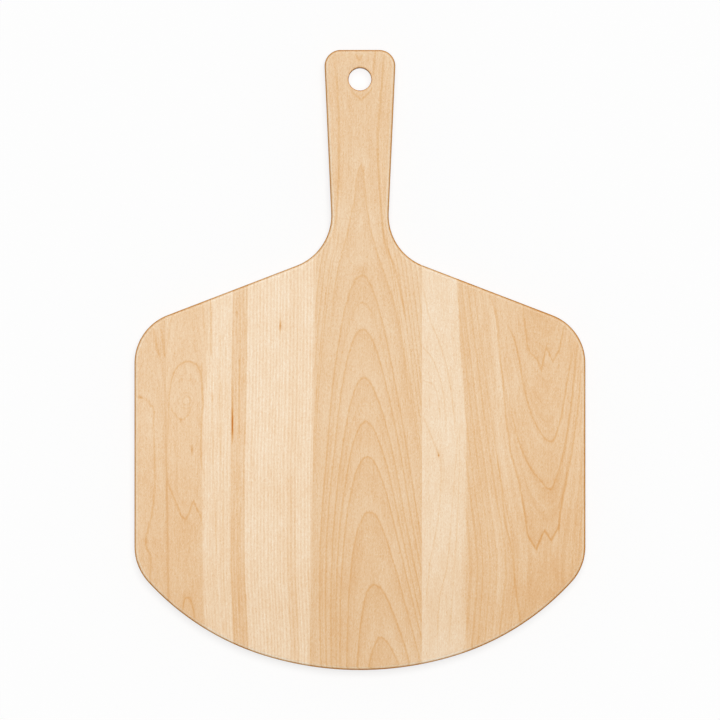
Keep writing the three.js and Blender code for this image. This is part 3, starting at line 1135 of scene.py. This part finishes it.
EDGE_SEED = 131
EDGE_BASE_TONE = 200.4
EDGE_BAND_TONE = 6
EDGE_LOW = (60, 160)
EDGE_LOW_DARKER = 3
BESIDE_JOINT = (-4.5, -1)  # from the joint
BESIDE_JOINT_END = (130, 160)  # below the middle
BESIDE_JOINT_DARKER = 5


def left_edge_maple():
    s = Surface("left_edge_maple", EDGE_SEED)
    level, slope, _ = growth(s, EDGE_AXIS, EDGE_FALL, EDGE_PITH)
    beside_joint = rise(s.from_joint(EDGE_JOINT), *BESIDE_JOINT) * (1.0 - rise(-s.y, *BESIDE_JOINT_END))
    tone = EDGE_BASE_TONE - rise(-s.y, *EDGE_LOW) * EDGE_LOW_DARKER - beside_joint * BESIDE_JOINT_DARKER
    tone += (s.bands(level, WIDE_BAND) + s.bands(level, FINE_BAND)) * EDGE_BAND_TONE
    tone -= ring_lines(s, level, slope, EDGE_RINGS, RING_LINE)
    tone -= grain_lines(s, EDGE_LINES, BROAD_LINE)
    tone -= marks(s, EDGE_MARKS)
    return finish_wood(s, tone - edge_stain(s))


# Glue

GLUE_SEED = 171
GLUE_PATCH_SIZE = (6, 14, 6)
GLUE_TONE_SPREAD = 10
GLUE_ROUGHNESS = 0.5
GLUE_RELIEF_STRENGTH = 0.3
DARK_GLUE_TONE = 198
DARK_GLUE_STAIN = 14
PALE_GLUE_TONE = 202
CLEAR_GLUE_TONE = 204


def glue(name, tone, stain=0.0):
    """A cured glue film: one tone of brown, a little uneven, and darker where it is stained."""
    s = Surface(name, GLUE_SEED)
    uneven = s.noise(*GLUE_PATCH_SIZE)
    tone += uneven * GLUE_TONE_SPREAD
    tone -= joint_stain(s) * stain
    return finish(s, tone, GLUE_ROUGHNESS + uneven * ROUGHNESS_SPREAD, uneven, GLUE_RELIEF_STRENGTH)


# Studio

CAMERA_HEIGHT = 5000
CAMERA_X = 0.05
FRAME_WIDTH = 567.8
FRAME_LEVEL = 13
SENSOR_WIDTH = 36


def add_camera():
    data = bpy.data.cameras.new("camera")
    data.sensor_width = SENSOR_WIDTH
    data.lens = SENSOR_WIDTH * CAMERA_HEIGHT / FRAME_WIDTH
    camera = add_object("camera", data)
    camera.location = (CAMERA_X * MM, 0.0, (FRAME_LEVEL + CAMERA_HEIGHT) * MM)
    bpy.context.scene.camera = camera


KEY_FROM = Vector((0.06, 0.25, 1))
KEY_SPREAD = math.radians(33)
KEY_STRENGTH = 2.13


def add_key():
    """A large softbox far overhead, a little towards the handle, with even light all over the board."""
    data = bpy.data.lights.new("key", "SUN")
    data.angle = KEY_SPREAD
    data.energy = KEY_STRENGTH
    lamp = add_object("key", data)
    lamp.location = KEY_FROM
    lamp.rotation_mode = "QUATERNION"
    lamp.rotation_quaternion = KEY_FROM.to_track_quat("Z", "Y")


def seen_directly(tree):
    """1 for what the camera sees, also mirrored or through glass, and 0 for light on other things."""
    path = tree.nodes.new("ShaderNodeLightPath")
    rays = ("Is Camera Ray", "Is Glossy Ray", "Is Transmission Ray")
    camera, glossy, through = [Field(tree, path.outputs[ray]) for ray in rays]
    return calculate("MAXIMUM", calculate("MAXIMUM", camera, glossy), through)


AMBIENT = 0.22
HORIZON = 0.9  # more light from low down all round, as from the walls of a light tent
HORIZON_FADE = (0.05, 0.45)


def light_world():
    world = bpy.data.worlds.new("studio")
    world.use_nodes = True
    bpy.context.scene.world = world
    tree = world.node_tree
    background = tree.nodes["Background"]
    background.inputs["Color"].default_value = (1.0, 1.0, 1.0, 1.0)
    direction = tree.nodes.new("ShaderNodeTexCoord")
    height = parts_of(tree, direction.outputs["Generated"])[2]
    glow = (1.0 - rise(height, *HORIZON_FADE)) * HORIZON + AMBIENT
    seen = seen_directly(tree)
    connect(tree, seen + (1.0 - seen) * glow, background.inputs["Strength"])


FLOOR_HALF = 6  # metres
FLOOR_DROP = 0.0001  # metres below the board
FLOOR_GLOW = 0.75
FLOOR_WHITE = 0.25
HOLE_GLOW = 0.075  # painted light on the floor under the hanging hole, more towards the tip, cancelling the shade of the hole's wall
HOLE_GLOW_RISE = 0.06
HOLE_GLOW_EDGE = (1, 1.2)  # in radii of the hole


def painted_light_under_hole(tree):
    """Painted light: how much brighter the floor glows under the hanging hole than elsewhere, cancelling
    the shade of the hole's wall.
    """
    place = tree.nodes.new("ShaderNodeTexCoord")
    x, y, _ = parts_of(tree, place.outputs["Object"])
    x = x / (HOLE_RADIUS * MM)
    y = (y - HOLE_Y * MM) / (HOLE_RADIUS * MM)
    inside = 1.0 - rise(root(x * x + y * y), *HOLE_GLOW_EDGE)
    return inside * (y * HOLE_GLOW_RISE + HOLE_GLOW)


def add_floor():
    """A plain pale floor, which keeps the board's shadow, save under the hanging hole, where painted light
    lifts it.
    """
    data = bpy.data.meshes.new("floor")
    signs = [(-1, -1), (1, -1), (1, 1), (-1, 1)]
    corners = [(x * FLOOR_HALF, y * FLOOR_HALF, -FLOOR_DROP) for x, y in signs]
    data.from_pydata(corners, [], [(0, 1, 2, 3)])
    floor = add_object("floor", data)
    material = bpy.data.materials.new("floor")
    material.use_nodes = True
    tree = material.node_tree
    tree.nodes.remove(tree.nodes["Principled BSDF"])
    diffuse = tree.nodes.new("ShaderNodeBsdfDiffuse")
    diffuse.inputs["Color"].default_value = (FLOOR_WHITE, FLOOR_WHITE, FLOOR_WHITE, 1.0)
    glow = tree.nodes.new("ShaderNodeEmission")
    # painted light under the hanging hole, on top of the floor's even glow
    connect(tree, seen_directly(tree) * (painted_light_under_hole(tree) + FLOOR_GLOW), glow.inputs["Strength"])
    both = tree.nodes.new("ShaderNodeAddShader")
    tree.links.new(diffuse.outputs[0], both.inputs[0])
    tree.links.new(glow.outputs[0], both.inputs[1])
    tree.links.new(both.outputs[0], tree.nodes["Material Output"].inputs["Surface"])
    data.materials.append(material)


add_stave("left_edge", None, EDGE_JOINT, left_edge_maple())
add_stave("left", EDGE_JOINT, LEFT_JOINT, left_maple())
add_stave("handle", LEFT_JOINT, RIGHT_JOINT, handle_maple())
add_stave("right", RIGHT_JOINT, None, right_maple())
add_glue("left_edge", EDGE_JOINT, glue("dark_glue", DARK_GLUE_TONE, DARK_GLUE_STAIN))
add_glue("left", LEFT_JOINT, glue("pale_glue", PALE_GLUE_TONE))
add_glue("right", RIGHT_JOINT, glue("clear_glue", CLEAR_GLUE_TONE))

add_floor()
light_world()
add_key()
add_camera()
bpy.context.scene.view_settings.view_transform = "Standard"
